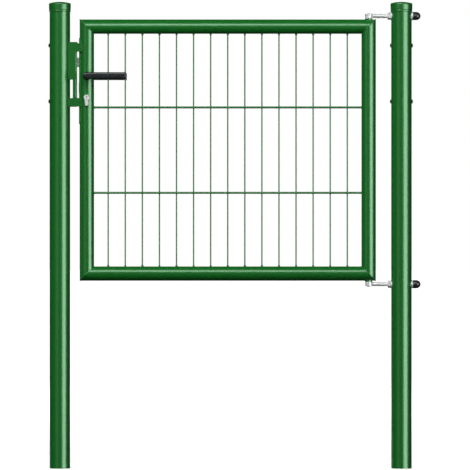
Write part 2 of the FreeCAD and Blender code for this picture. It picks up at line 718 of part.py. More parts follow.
# A lever: a round neck on the spindle, a rounded grip that points to the hinge side, and
# a slightly thicker end
def lever(name, side):
    turn = None if side > 0 else upsideDown
    body = newBody(name, stileX, "0", leverZ, turn)
    start = f"({frameRadius} + Sizes.rosetteThickness + Sizes.leverClearance)"
    middle = f"({frameRadius} + Sizes.gripOffset)"
    neck = "(Sizes.neckDiameter / 2)"
    hub = "(Sizes.gripHeight / 2)"
    edge = "Sizes.gripEdge"
    near = f"({middle} - Sizes.gripDepth / 2)"
    far = f"({middle} + Sizes.gripDepth / 2)"
    half = newSketch(body, "XY_Plane", "Neck")
    rim = f"({hub} - {edge})"
    meet = f"(acos(({neck} - {rim}) / {edge}) / 1 deg)"
    corners = [("0", f"-{start}"), (neck, f"-{start}")]
    corners += bandedArc(rim, f"(-({near} + {edge}))", edge, meet, "0", 3)
    corners += bandedArc(rim, f"(-({far} - {edge}))", edge, "0", "-90", 3)
    outline(half, corners + [("0", f"-{far}")])
    revolve(body, half, "V_Axis")
    grip = newSketch(body, "YZ_Plane", "Grip")
    roundedBar(grip, middle, "(Sizes.gripDepth / 2)", hub)
    pad(body, grip, "Sizes.gripLength")
    flare = newSketch(body, "YZ_Plane", "Flare", "Sizes.gripLength - Sizes.gripFlareLength")
    roundedBar(flare, middle, "(Sizes.gripDepth / 2 + Sizes.gripFlare)", f"({hub} + Sizes.gripFlare)")
    pad(body, flare, "Sizes.gripFlareLength")
    socket = newSketch(body, "XZ_Plane", "Socket", start)
    flat = "(Sizes.spindleWidth / 2 + Sizes.seatClearance)"
    rectangle(socket, f"-{flat}", f"-{flat}", flat, flat)
    pocket(body, socket, f"{middle} - {start}", back=True)
    nodes.append(body)


def roundedBar(sketch, middle, deep, high):
    edge = "Sizes.gripEdge"
    out = f"(-{middle} - {deep})"
    inner = f"(-{middle} + {deep})"
    outline(
        sketch,
        [
            (f"{out} + {edge}", f"-{high}"),
            (f"{inner} - {edge}", f"-{high}", edge, 1),
            (inner, f"{edge} - {high}"),
            (inner, f"{high} - {edge}", edge, 1),
            (f"{inner} - {edge}", high),
            (f"{out} + {edge}", high, edge, 1),
            (out, f"{high} - {edge}"),
            (out, f"{edge} - {high}", edge, 1),
        ],
    )


def spindle():
    reach = f"({frameRadius} + Sizes.gripOffset - Sizes.seatClearance)"
    bar = doc.addObject("Part::Box", "spindle")
    bar.Label = "spindle"
    bar.setExpression("Length", "Sizes.spindleWidth")
    bar.setExpression("Width", f"2 * {reach}")
    bar.setExpression("Height", "Sizes.spindleWidth")
    placeBody(bar, f"{stileX} - Sizes.spindleWidth / 2", f"-{reach}", f"{leverZ} - Sizes.spindleWidth / 2")
    nodes.append(bar)


keeperHole = "Sizes.keeperBoltDiameter / 2 + Sizes.keeperBoltClearance"
eyeHole = "Sizes.boltDiameter / 2 + Sizes.boltClearance"
plugHole = "Sizes.plugShank / 2 + Sizes.seatClearance"
post("latch_post", latchPostX, [(keeperHole, z) for z in keeperBoltZ])
post("hinge_post", "0", [(plugHole, z) for z in keeperBoltZ] + [(eyeHole, upperEyeZ), (eyeHole, lowerEyeZ)])
postCap("latch_post_cap", latchPostX)
postCap("hinge_post_cap", "0")
keeper()
for place, z in zip(("upper", "lower"), keeperBoltZ):
    reach = f"({webX} - {latchPostX} + {postRadius})"
    nodes.append(domedBolt(f"{place}_keeper_bolt", f"{latchPostX} - {postRadius}", z, "Sizes.keeperBoltDiameter / 2", reach))
    seat = f"{webX} - Sizes.keeperSheet - Sizes.keeperNutHeight"
    bolt = ("Sizes.keeperNutFlats", "Sizes.keeperBoltDiameter")
    hexNut(f"{place}_keeper_nut", seat, z, *bolt, "Sizes.keeperNutHeight")

plugs = []
for z in keeperBoltZ:
    for side in (1, -1):
        turn = None if side > 0 else (FreeCAD.Vector(0, 0, 1), 180)
        x = f"{-side} * {postRadius}"
        plugs.append(domedBolt("plug%d" % (len(plugs) + 1), x, z, "Sizes.plugShank / 2", "Sizes.plugLength", turn))
plugSet = doc.addObject("Part::Compound", "hinge_post_plugs")
plugSet.Label = "hinge_post_plugs"
plugSet.Links = plugs
nodes.append(plugSet)

hinge("upper", upperEyeZ)
hinge("lower", lowerEyeZ)

middleZ = "(Sizes.leafBottom + Sizes.leafHeight / 2)"
frameTube("latch_stile", "Sizes.leafHeight", stileX, middleZ, (FreeCAD.Vector(0, 0, 1), 180), lockCutOuts)
frameTube("hinge_stile", "Sizes.leafHeight", hingeX, middleZ)
frameTube("top_rail", leafWidth, leafMiddleX, f"({leafTop} - {frameRadius})", (FreeCAD.Vector(0, 1, 0), -90))
frameTube("bottom_rail", leafWidth, leafMiddleX, f"(Sizes.leafBottom + {frameRadius})", alongX)
meshPanel()
hingePin("upper_hinge_pin", leafTop)
hingePin("lower_hinge_pin", "Sizes.leafBottom", upsideDown)
hingeWasher("upper_hinge_washer", f"{leafTop} + Sizes.bossHeight")
hingeWasher("lower_hinge_washer", "Sizes.leafBottom - Sizes.bossHeight - Sizes.washerThickness")
faceplate()
lockCase()
deadBolt()
lockCylinder()
rosette("front_rosette", 1)
rosette("back_rosette", -1)
lever("front_lever", 1)
lever("back_lever", -1)
spindle()
latchBolt()

doc.recompute()
for item in doc.Objects:
    if "Invalid" in item.State or "Error" in item.State:
        raise RuntimeError("%s failed: %s" % (item.Name, item.State))
for piece in nodes:
    shape = piece.Shape
    if shape.isNull() or not shape.isValid() or not shape.Solids:
        raise RuntimeError("%s has no sound solid" % piece.Label)

os.makedirs("parts", exist_ok=True)
for piece in nodes:
    piece.Shape.exportStep("parts/%s.step" % piece.Label)
    box = piece.Shape.BoundBox
    print("%-20s %d solids %10.1f mm3  x %.1f %.1f  y %.1f %.1f  z %.1f %.1f" % (
        piece.Label, len(piece.Shape.Solids), piece.Shape.Volume,
        box.XMin, box.XMax, box.YMin, box.YMax, box.ZMin, box.ZMax))
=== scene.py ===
import json
import math

import bmesh
import bpy
from mathutils import Matrix, Vector


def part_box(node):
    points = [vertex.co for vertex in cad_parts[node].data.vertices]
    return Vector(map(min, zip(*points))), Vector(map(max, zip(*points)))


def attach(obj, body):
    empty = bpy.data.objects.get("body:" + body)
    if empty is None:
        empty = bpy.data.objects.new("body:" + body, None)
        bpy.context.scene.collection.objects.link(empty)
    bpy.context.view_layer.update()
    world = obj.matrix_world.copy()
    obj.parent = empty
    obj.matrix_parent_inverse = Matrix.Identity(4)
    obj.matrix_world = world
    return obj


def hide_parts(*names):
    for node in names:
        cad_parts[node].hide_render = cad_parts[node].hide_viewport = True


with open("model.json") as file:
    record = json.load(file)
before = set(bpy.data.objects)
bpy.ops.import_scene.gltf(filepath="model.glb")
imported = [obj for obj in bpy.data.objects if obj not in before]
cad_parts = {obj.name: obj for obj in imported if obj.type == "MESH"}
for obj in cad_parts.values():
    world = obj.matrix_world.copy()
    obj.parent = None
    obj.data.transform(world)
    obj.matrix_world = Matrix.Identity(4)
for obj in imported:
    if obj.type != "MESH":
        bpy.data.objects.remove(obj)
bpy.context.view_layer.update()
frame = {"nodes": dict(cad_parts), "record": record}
nodes = frame["nodes"]
bodies = frame["record"]["behaviour"]["bodies"]
bodyOf = {node: body for body, members in bodies.items() for node in members}
scene = bpy.context.scene
mm = 0.001
quarter = math.pi / 2
print("frame loaded:", len(nodes), "nodes")


# A new object that holds a mesh, a lens or a lamp
def stand(name, data):
    thing = bpy.data.objects.new(name, data)
    scene.collection.objects.link(thing)
    return thing


# Camera: straight on and far away, with a long lens
view = {
    "middle": (-0.4873, 0.6830),  # the X and Z that the picture's middle shows
    "distance": 15.0,
    "width": 1.3760,  # how much of the gate's plane the picture spans
    "sensor": 36.0,
    "farthest": 100.0,
}


def addCamera():
    lens = bpy.data.cameras.new("camera")
    lens.sensor_width = view["sensor"]
    lens.lens = view["sensor"] * view["distance"] / view["width"]
    lens.clip_end = view["farthest"]
    camera = stand("camera", lens)
    camera.location = (view["middle"][0], -view["distance"], view["middle"][1])
    camera.rotation_euler = (quarter, 0, 0)
    scene.camera = camera


# Studio: softboxes as (side angle, height angle, distance, width, height, brightness, what they light)
studio = {
    "lamps": {
        "rightBox": (48, 0, 7.0, 5.4, 4.4, 6.2, "gloss"),
        "topBox": (-12, 38, 7.0, 6.6, 2.6, 5.6, "all"),
        "spotBox": (-34, 38, 7.0, 2.6, 2.0, 7.0, "gloss"),
        "leftBox": (-35, 2, 6.0, 3.2, 3.4, 0.45, "all"),
        "backBox": (180, 30, 8.0, 5.0, 4.0, 2.6, "matt"),
        "lowBackBox": (-148, -20, 8.0, 3.4, 3.0, 4.0, "gloss"),
    },
    "roomLight": 0.30,  # in front, for matt surfaces
    "roomBehind": 0.16,
    "frontToBack": (-0.8, 0.6),  # where the one turns into the other: -1 is in front, 1 is behind
    "mirroredRoom": 0.02,
    "mirroredWhite": (0.985, 0.998),  # from where to where the mirrored white behind the gate sets in
    "floorColour": (0.92, 0.92, 0.92),
    "floorBounce": (0.03, 0.03, 0.03),
    "floorGlow": 0.55,  # how much of the floor's white doesn't depend on the lamps
    "floorGlowSpan": (1.0, 5.0),  # over these metres from the gate it all becomes glow
    "floorSize": 400.0,
}


def addLamps():
    target = Vector((view["middle"][0], 0, view["middle"][1]))
    for name, (side, up, distance, width, height, brightness, lit) in studio["lamps"].items():
        side, up = math.radians(side), math.radians(up)
        towards = Vector((math.sin(side) * math.cos(up), -math.cos(side) * math.cos(up), math.sin(up)))
        data = bpy.data.lights.new(name, "AREA")
        data.shape = "RECTANGLE"
        data.size = width
        data.size_y = height
        data.energy = brightness * math.pi * width * height
        lamp = stand(name, data)
        lamp.location = target + towards * distance
        lamp.rotation_euler = towards.to_track_quat("Z", "Y").to_euler()
        lamp.visible_camera = False
        lamp.visible_diffuse = lit != "gloss"
        lamp.visible_glossy = lit != "matt"


# A node in a tree. The inputs are sockets to link or plain values to set.
def put(tree, kind, inputs=(), output=0, **settings):
    node = tree.nodes.new(kind)
    for name, setting in settings.items():
        setattr(node, name, setting)
    for name, source in dict(inputs).items():
        if isinstance(source, bpy.types.NodeSocket):
            tree.links.new(source, node.inputs[name])
        else:
            node.inputs[name].default_value = source
    return node.outputs[output]


def calculate(tree, operation, *numbers):
    return put(tree, "ShaderNodeMath", enumerate(numbers), operation=operation)


def spread(tree, source, low, high, outLow=0.0, outHigh=1.0, soft=False):
    return put(tree, "ShaderNodeMapRange", {
        "Value": source, "From Min": low, "From Max": high, "To Min": outLow, "To Max": outHigh,
    }, interpolation_type="SMOOTHSTEP" if soft else "LINEAR")


def mixColours(tree, factor, first, second):
    inputs = {0: factor, 6: (*first, 1), 7: (*second, 1)}
    return put(tree, "ShaderNodeMix", inputs, output=2, data_type="RGBA")


def newSurface(name):
    material = bpy.data.materials.new(name)
    material.use_nodes = True
    material.node_tree.nodes.clear()
    return material, material.node_tree


# The room is dim. What stands behind the gate is white, also in what the metal mirrors.
def lightRoom():
    scene.world = bpy.data.worlds.new("room")
    scene.world.use_nodes = True
    tree = scene.world.node_tree
    tree.nodes.clear()
    rays = tree.nodes.new("ShaderNodeLightPath").outputs
    place = put(tree, "ShaderNodeTexCoord")
    depth = put(tree, "ShaderNodeSeparateXYZ", {0: place}, output=1)
    behind = spread(tree, depth, *studio["mirroredWhite"], soft=True)
    mirrored = calculate(tree, "MULTIPLY", rays["Is Glossy Ray"], behind)
    seen = calculate(tree, "MAXIMUM", rays["Is Camera Ray"], rays["Is Transmission Ray"])
    matt = spread(tree, depth, *studio["frontToBack"], studio["roomLight"], studio["roomBehind"], soft=True)
    level = spread(tree, rays["Is Glossy Ray"], 0.0, 1.0, matt, studio["mirroredRoom"])
    dim = put(tree, "ShaderNodeBackground", {"Color": (1, 1, 1, 1), "Strength": level})
    white = put(tree, "ShaderNodeBackground", {"Color": (1, 1, 1, 1)})
    share = calculate(tree, "MAXIMUM", seen, mirrored)
    mixed = put(tree, "ShaderNodeMixShader", {0: share, 1: dim, 2: white})
    tree.links.new(mixed, tree.nodes.new("ShaderNodeOutputWorld").inputs["Surface"])


# The floor is white to the camera and keeps a faint shadow at the posts' feet.
# Mirrored rays pass it, so that the gloss of the posts runs down to their feet.
def addFloor():
    size = studio["floorSize"] / 2
    corners = [(-size, -size, 0), (size, -size, 0), (size, size, 0), (-size, size, 0)]
    mesh = bpy.data.meshes.new("floor")
    mesh.from_pydata(corners, [], [(0, 1, 2, 3)])
    floor = stand("floor", mesh)
    paint, tree = newSurface("floorPaint")
    rays = tree.nodes.new("ShaderNodeLightPath").outputs
    seen = calculate(tree, "MAXIMUM", rays["Is Camera Ray"], rays["Is Transmission Ray"])
    colour = mixColours(tree, seen, studio["floorBounce"], studio["floorColour"])
    matt = put(tree, "ShaderNodeBsdfDiffuse", {"Color": colour})
    place = tree.nodes.new("ShaderNodeTexCoord").outputs["Object"]
    middle = (view["middle"][0], 0, 0)
    away = put(tree, "ShaderNodeVectorMath", {0: place, 1: middle}, output="Value", operation="DISTANCE")
    share = spread(tree, away, *studio["floorGlowSpan"], studio["floorGlow"], 1.0, soft=True)
    glow = put(tree, "ShaderNodeEmission", {"Strength": calculate(tree, "MULTIPLY", seen, share)})
    lit = put(tree, "ShaderNodeAddShader", {0: matt, 1: glow})
    passing = calculate(tree, "MAXIMUM", rays["Is Glossy Ray"], rays["Is Shadow Ray"])
    clear = put(tree, "ShaderNodeBsdfTransparent")
    mixed = put(tree, "ShaderNodeMixShader", {0: passing, 1: lit, 2: clear})
    tree.links.new(mixed, tree.nodes.new("ShaderNodeOutputMaterial").inputs["Surface"])
    floor.data.materials.append(paint)


addCamera()
addLamps()
lightRoom()
addFloor()
scene.view_settings.view_transform = "Standard"
print("camera and studio set")


# Finishes. Sizes of grain are in metres, colours as they look in plain light.
finishes = {
    "green_coat": {
        "colour": (0.0068, 0.185, 0.0170), "shade": (0.0066, 0.180, 0.0165), "rough": (0.277, 0.293),
        "tint": (0.62, 1.0, 0.72), "gloss": 1.0, "peel": 0.0019, "peelDepth": 0.000003,
    },
    "green_plastic": {
        "colour": (0.0068, 0.178, 0.0170), "shade": (0.0064, 0.168, 0.0160), "rough": (0.28, 0.34),
        "tint": (0.62, 1.0, 0.72), "gloss": 1.0, "grain": 0.0006, "grainDepth": 0.000004,
    },
    "zinc": {
        "colour": (0.93, 0.94, 0.94), "shade": (0.86, 0.88, 0.90), "rough": (0.30, 0.42),
        "metal": 0.14, "gloss": 0.8, "cloud": 0.006, "streaks": 0.0004, "streakDepth": 0.000006,
    },
    "nickel": {
        "colour": (0.97, 0.97, 0.95), "shade": (0.93, 0.93, 0.91), "rough": (0.22, 0.30),
        "gloss": 0.9, "cloud": 0.004, "streaks": 0.0002, "streakDepth": 0.000004,
    },
    "black_plastic": {
        "colour": (0.017, 0.023, 0.025), "shade": (0.014, 0.019, 0.021), "rough": (0.27, 0.34),
        "gloss": 0.55, "grain": 0.0007, "grainDepth": 0.000008,
    },
    "dark_steel": {
        "colour": (0.012, 0.026, 0.015), "shade": (0.009, 0.019, 0.011), "rough": (0.30, 0.42),
        "gloss": 0.4, "grain": 0.0010, "grainDepth": 0.000008,
    },
}
mottle = {
    "cloud": 0.05,  # the size of the patches of colour and shade where a finish names none
    "speck": 0.009,
    "speckShade": (0.988, 1.01),  # how far the specks darken and lighten the colour
    "wear": 0.018,
}


def noise(tree, place, size, detail=2.0, rough=0.5):
    inputs = {"Vector": place, "Scale": 1 / size, "Detail": detail, "Roughness": rough}
    return put(tree, "ShaderNodeTexNoise", inputs)


# A finish's relief: the peel of powder coat, drawn streaks or moulded grain
def relief(tree, place, finish):
    if "peel" in finish:
        return noise(tree, place, finish["peel"], 1.0), finish["peelDepth"]
    if "streaks" in finish:
        drawn = put(tree, "ShaderNodeMapping", {"Vector": place, "Scale": (0.04, 1.0, 1.0)})
        return noise(tree, drawn, finish["streaks"]), finish["streakDepth"]
    cells = put(tree, "ShaderNodeTexVoronoi", {"Vector": place, "Scale": 1 / finish["grain"]})
    return cells, finish["grainDepth"]


def makeFinish(name):
    finish = finishes[name]
    material = bpy.data.materials.new(name)
    material.use_nodes = True
    tree = material.node_tree
    shader = tree.nodes["Principled BSDF"].inputs
    place = tree.nodes.new("ShaderNodeTexCoord").outputs["Object"]
    cloud = noise(tree, place, finish.get("cloud", mottle["cloud"]), 3.0)
    patched = mixColours(tree, spread(tree, cloud, 0.35, 0.65), finish["colour"], finish["shade"])
    specks = spread(tree, noise(tree, place, mottle["speck"], 4.0, 0.6), 0.3, 0.7, *mottle["speckShade"])
    colour = put(tree, "ShaderNodeVectorMath", {0: patched, "Scale": specks}, operation="SCALE")
    tree.links.new(colour, shader["Base Color"])
    worn = spread(tree, noise(tree, place, mottle["wear"], 3.0), 0.3, 0.7, *finish["rough"])
    tree.links.new(worn, shader["Roughness"])
    height, depth = relief(tree, place, finish)
    raised = put(tree, "ShaderNodeBump", {"Height": height, "Distance": depth, "Strength": 1.0})
    tree.links.new(raised, shader["Normal"])
    shader["Metallic"].default_value = finish.get("metal", 0.0)
    shader["Specular IOR Level"].default_value = finish["gloss"]
    shader["Specular Tint"].default_value = (*finish.get("tint", (1.0, 1.0, 1.0)), 1)
    return material


# The CAD's own materials give up their names. Each node keeps the slot that its imported material's name
# gives it.
for imported in list(bpy.data.materials):
    if imported.name != "floorPaint":
        imported.name = imported.name + ".cad"
materials = {name: makeFinish(name) for name in finishes}
slotOf = {name: node.data.materials[0].name.split(".")[0] for name, node in nodes.items()}
for name, node in nodes.items():
    node.data.materials[0] = materials[slotOf[name]]
print("finishes made:", len(materials))


# A finished mesh becomes a piece that rides on its body
def settle(name, mesh, body, slot, *replaced):
    mesh.name = name
    if not mesh.materials:
        mesh.materials.append(materials[slot])
    piece = stand(name, mesh)
    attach(piece, body)
    if replaced:
        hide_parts(*replaced)
    return piece


# The same for a mesh that takes the place of one CAD node
def standIn(node, ending, mesh):
    words = node.split("_")
    name = words[0] + "".join(word.capitalize() for word in words[1:]) + ending
    settle(name, mesh, bodyOf[node], slotOf[node], node)


# What an object's modifiers make of it. The object itself goes.
def applied(piece):
    mesh = bpy.data.meshes.new_from_object(piece.evaluated_get(bpy.context.evaluated_depsgraph_get()))
    bpy.data.objects.remove(piece)
    return mesh


def kept(shape, name):
    mesh = bpy.data.meshes.new(name)
    shape.to_mesh(mesh)
    shape.free()
    return mesh


# A closed copy of a CAD node: its loose triangles are joined and its flat faces made whole
joining = {"merge": 0.002, "flatWithin": 0.5}  # in mm and in degrees


def joinedCopy(node):
    shape = bmesh.new()
    shape.from_mesh(nodes[node].data)
    bmesh.ops.remove_doubles(shape, verts=shape.verts, dist=joining["merge"] * mm)
    flat = math.radians(joining["flatWithin"])
    bmesh.ops.dissolve_limit(shape, angle_limit=flat, verts=shape.verts, edges=shape.edges)
    for edge in shape.edges:
        edge.smooth = True
    for face in shape.faces:
        face.smooth = True
    return stand(node + "Copy", kept(shape, node + "Copy"))


# The key's slot in both ends of the lock cylinder, wider at its top (mm from the plug's axis)
keyway = {
    "axis": (-0.9210, 1.0846),  # the plug's X and Z in metres
    "outline": [
        (-0.9, -5.0), (0.9, -5.0), (0.9, 1.4), (1.6, 1.4), (1.6, 4.8), (-1.6, 4.8), (-1.6, 1.4), (-0.9, 1.4),
    ],
    "depth": 6.0,
    "standOut": 1.0,  # how far the cutter stands out of the plug
}


def keywayCutter():
    low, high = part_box("lock_cylinder")
    plugX, plugZ = keyway["axis"]
    shape = bmesh.new()
    for face, inwards in ((low.y, 1), (high.y, -1)):
        rings = []
        for depth in (-keyway["standOut"], keyway["depth"]):
            y = face + inwards * depth * mm
            rings.append([shape.verts.new((plugX + x * mm, y, plugZ + z * mm)) for x, z in keyway["outline"]])
            shape.faces.new(rings[-1])
        outer, inner = rings
        for spot in range(len(outer)):
            shape.faces.new((outer[spot - 1], outer[spot], inner[spot], inner[spot - 1]))
    bmesh.ops.recalc_face_normals(shape, faces=shape.faces)
    return stand("keyway", kept(shape, "keyway"))


def cutKeyway(piece):
    cutter = keywayCutter()
    cut = piece.modifiers.new("keyway", "BOOLEAN")
    cut.object = cutter
    cut.operation = "DIFFERENCE"
    mesh = applied(piece)
    bpy.data.objects.remove(cutter)
    return stand("cylinder", mesh)


# Small parts: their edges get the radius that folding, forging or moulding leaves (mm)
edgeRadii = {
    "keeper": 0.6,
    "lock_faceplate": 0.8,
    "latch_bolt": 0.5,
    "dead_bolt": 0.5,
    "lock_cylinder": 0.3,
    "front_rosette": 0.6,
    "back_rosette": 0.6,
    "upper_hinge_pin": 0.4,
    "lower_hinge_pin": 0.4,
    "upper_hinge_washer": 0.25,
    "lower_hinge_washer": 0.25,
    "upper_eyebolt": 0.9,
    "lower_eyebolt": 0.9,
    "upper_inner_nut": 0.3,
    "lower_inner_nut": 0.3,
    "upper_inner_washer": 0.25,
    "lower_inner_washer": 0.25,
    "upper_outer_washer": 0.4,
    "lower_outer_washer": 0.4,
    "upper_keeper_nut": 0.2,
    "lower_keeper_nut": 0.2,
}
edgeStyle = {"segments": 3, "sharperThan": 32}  # edges that turn by fewer degrees stay


def roundEdges(node, radius):
    piece = joinedCopy(node)
    if node == "lock_cylinder":
        piece = cutKeyway(piece)
    bevel = piece.modifiers.new("edges", "BEVEL")
    bevel.width = radius * mm
    bevel.segments = edgeStyle["segments"]
    bevel.limit_method = "ANGLE"
    bevel.angle_limit = math.radians(edgeStyle["sharperThan"])
    bevel.use_clamp_overlap = False
    piece.modifiers.new("normals", "WEIGHTED_NORMAL").keep_sharp = True
    mesh = applied(piece)
    mesh.materials.clear()
    standIn(node, "Rounded", mesh)


for node, radius in edgeRadii.items():
    roundEdges(node, radius)
print("small parts rounded:", len(edgeRadii))


# Levers: moulded in one, so the neck flows into the grip
leverSizes = {
    "grain": 0.9,  # the size of the faces, in mm
    "flow": 10,  # how often the surface is evened
    "evening": 0.5,  # how much each time
}


def mouldLever(node):
    piece = joinedCopy(node)
    remesh = piece.modifiers.new("skin", "REMESH")
    remesh.mode = "VOXEL"
    remesh.voxel_size = leverSizes["grain"] * mm
    remesh.use_smooth_shade = True
    even = piece.modifiers.new("flow", "SMOOTH")
    even.factor = leverSizes["evening"]
    even.iterations = leverSizes["flow"]
    mesh = applied(piece)
    mesh.materials.clear()
    standIn(node, "Moulded", mesh)


for node in ("front_lever", "back_lever"):
    mouldLever(node)
print("levers moulded")


# Turned parts. A profile is a list of (radius, height, rounding), in millimetres.
def softCorners(profile, steps=5):
    points = []
    for number, (radius, height, rounding) in enumerate(profile):
        corner = Vector((radius, height))
        if not rounding:
            points.append(corner)
            continue
        before, after = (Vector(profile[number + step][:2]) for step in (-1, 1))
        start = corner + (before - corner).normalized() * rounding
        end = corner + (after - corner).normalized() * rounding
        for step in range(steps + 1):
            share = step / steps
            points.append(start * (1 - share) ** 2 + corner * 2 * share * (1 - share) + end * share ** 2)
    return points


def turned(profile, rounds, place, sharpFrom=40):
    shape = bmesh.new()
    rings = []
    for radius, height in softCorners(profile):
        turns = [2 * math.pi * spot / rounds for spot in range(rounds if radius else 1)]
        points = [(radius * math.cos(turn) * mm, radius * math.sin(turn) * mm, height * mm) for turn in turns]
        rings.append([shape.verts.new(point) for point in points])
    for low, high in zip(rings, rings[1:]):
        for spot in range(rounds):
            around = ((low, spot), (low, spot + 1), (high, spot + 1), (high, spot))
            corners = list(dict.fromkeys(ring[number % len(ring)] for ring, number in around))
            if len(corners) > 2:
                shape.faces.new(corners).smooth = True
    bmesh.ops.recalc_face_normals(shape, faces=shape.faces)
    shape.transform(place)
    mesh = kept(shape, "turned")
    mesh.set_sharp_from_angle(angle=math.radians(sharpFrom))
    return mesh


# Post cap: a domed top with a rounded rim, and a faint fold near its lower edge
capSizes = {
    "rounds": 96,
    "wall": 1.5,
    "mouth": 0.5,  # how high the wall's inner edge begins
    "mouthRounding": 0.3,
    "skirt": [  # outside, from the lower edge up past the fold: (wider than the foot, height, rounding)
        (-0.7, 0.0, 0.3), (0.0, 0.9, 0.5), (0.1, 3.9, 0.4),
        (-0.33, 4.8, 0.3), (-0.33, 5.6, 0.3), (0.2, 6.6, 0.5),
    ],
    "taper": 0.6,  # how much narrower the foot is than the rim
    "rimRounding": 3.2,
    "roof": 2.5,  # how far the ceiling lies below the rim
    "roofRounding": 0.6,
    "domeRise": 4.4,
    "domeBands": 16,
}


def addPostCap(node):
    low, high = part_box(node)
    middle = (low + high) / 2
    outer = (high.x - low.x) / 2 / mm
    height = (high.z - low.z) / mm
    foot = outer - capSizes["taper"]
    inner = foot - capSizes["wall"]
    rim = height - capSizes["domeRise"]
    roof = rim - capSizes["roof"]
    profile = [(0, roof, 0), (inner, roof, capSizes["roofRounding"])]
    profile.append((inner, capSizes["mouth"], capSizes["mouthRounding"]))
    profile += [(foot + wider, level, rounding) for wider, level, rounding in capSizes["skirt"]]
    profile.append((outer, rim, capSizes["rimRounding"]))
    for band in range(1, capSizes["domeBands"] + 1):
        share = 1 - band / capSizes["domeBands"]
        profile.append((outer * share, height - capSizes["domeRise"] * share ** 2, 0))
    place = Matrix.Translation((middle.x, middle.y, low.z))
    standIn(node, "Turned", turned(profile, capSizes["rounds"], place))


for node in ("latch_post_cap", "hinge_post_cap"):
    addPostCap(node)
print("post caps turned")


# Domed heads: the keeper's bolts and the plugs in the hinge post (mm)
domeSizes = {
    "rounds": 40,
    "rim": 0.7,
    "edge": 0.4,
    "rise": 3.8,
    "bands": 8,
    "fullness": 0.9,  # below 1 the dome is fuller than round
    "boltShank": 3.0,
    "plugHead": 6.0,
    "plugShank": 4.0,
    "plugLength": 9.0,
}


def domeProfile(radius, shank, length):
    rim, rise, bands = (domeSizes[size] for size in ("rim", "rise", "bands"))
    profile = [(0, -length, 0), (shank, -length, 0), (shank, 0, 0), (radius, 0, 0)]
    profile.append((radius, rim, domeSizes["edge"]))
    for band in range(1, bands):
        turn = band / bands * quarter
        across = radius * math.cos(turn) ** domeSizes["fullness"]
        profile.append((across, rim + (rise - rim) * math.sin(turn), 0))
    return profile + [(0, rise, 0)]


def addKeeperBolt(node):
    low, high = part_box(node)
    middle = (low + high) / 2
    radius = (high.z - low.z) / 2 / mm
    seat = low.x + domeSizes["rise"] * mm
    place = Matrix.Translation((seat, middle.y, middle.z)) @ Matrix.Rotation(-quarter, 4, "Y")
    profile = domeProfile(radius, domeSizes["boltShank"], (high.x - seat) / mm)
    standIn(node, "Turned", turned(profile, domeSizes["rounds"], place))


def addPlugs(node):
    low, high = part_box(node)
    head = domeSizes["plugHead"]
    profile = domeProfile(head, domeSizes["plugShank"], domeSizes["plugLength"])
    whole = bmesh.new()
    for side in (-1, 1):
        seat = side * ((high.x - low.x) / 2 - domeSizes["rise"] * mm)
        for height in (low.z + head * mm, high.z - head * mm):
            place = Matrix.Translation((seat, 0, height)) @ Matrix.Rotation(side * quarter, 4, "Y")
            whole.from_mesh(turned(profile, domeSizes["rounds"], place))
    settle("postPlugsTurned", kept(whole, "plugs"), bodyOf[node], slotOf[node], node)


for node in ("upper_keeper_bolt", "lower_keeper_bolt"):
    addKeeperBolt(node)
addPlugs("hinge_post_plugs")


# Nut cap: a thin plastic dome with a faint ring round it (mm)
nutCapSizes = {
    "rounds": 56,
    "wall": 0.9,
    "cavity": 13.2,
    "straight": 9.5,
    "edge": 0.3,
    "bands": 14,
    "ringBand": 8,  # which band of the dome carries the ring
    "ring": (0.14, 0.105),  # how far it stands out and lies back
}


def addNutCap(node):
    low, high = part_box(node)
    middle = (low + high) / 2
    radius = (high.z - low.z) / 2 / mm
    length = (high.x - low.x) / mm
    cavity, straight, bands = (nutCapSizes[size] for size in ("cavity", "straight", "bands"))
    inner = radius - nutCapSizes["wall"]
    profile = [(0, cavity, 0), (inner, cavity, 0), (inner, 0, 0)]
    profile += [(radius, 0, nutCapSizes["edge"]), (radius, straight, 0)]
    for band in range(1, bands):
        turn = band / bands * quarter
        out, back = nutCapSizes["ring"] if band == nutCapSizes["ringBand"] else (0, 0)
        along = straight + (length - straight) * math.sin(turn)
        profile.append((radius * math.cos(turn) + out, along - back, 0))
    profile.append((0, length, 0))
    place = Matrix.Translation((low.x, middle.y, middle.z)) @ Matrix.Rotation(quarter, 4, "Y")
    standIn(node, "Turned", turned(profile, nutCapSizes["rounds"], place))


for node in ("upper_nut_cap", "lower_nut_cap"):
    addNutCap(node)
print("bolts, plugs and nut caps turned")


# Geometry Nodes: each tree has named inputs, and its result is kept as a plain mesh
def newTree(name, sizes):
    tree = bpy.data.node_groups.new(name, "GeometryNodeTree")
    for label, number in sizes.items():
        kind = "NodeSocketInt" if isinstance(number, int) else "NodeSocketFloat"
        tree.interface.new_socket(label, in_out="INPUT", socket_type=kind).default_value = number
    tree.interface.new_socket("Geometry", in_out="OUTPUT", socket_type="NodeSocketGeometry")
    return tree, tree.nodes.new("NodeGroupInput").outputs


def grow(name, tree, geometry, sizes, body, slot, *replaced):
    real = put(tree, "GeometryNodeRealizeInstances", {"Geometry": geometry})
    dressed = put(tree, "GeometryNodeSetMaterial", {"Geometry": real, "Material": materials[slot]})
    tree.links.new(dressed, tree.nodes.new("NodeGroupOutput").inputs[0])
    seedling = stand(name + "Seed", bpy.data.meshes.new(name + "Seed"))
    modifier = seedling.modifiers.new("nodes", "NODES")
    modifier.node_group = tree
    for socket in tree.interface.items_tree:
        if socket.in_out == "INPUT":
            modifier[socket.identifier] = sizes[socket.name]
    settle(name, applied(seedling), body, slot, *replaced)


def vector(tree, x=0.0, y=0.0, z=0.0):
    return put(tree, "ShaderNodeCombineXYZ", {"X": x, "Y": y, "Z": z})


def split(tree, source):
    node = tree.nodes.new("ShaderNodeSeparateXYZ")
    tree.links.new(source, node.inputs[0])
    return tuple(node.outputs)


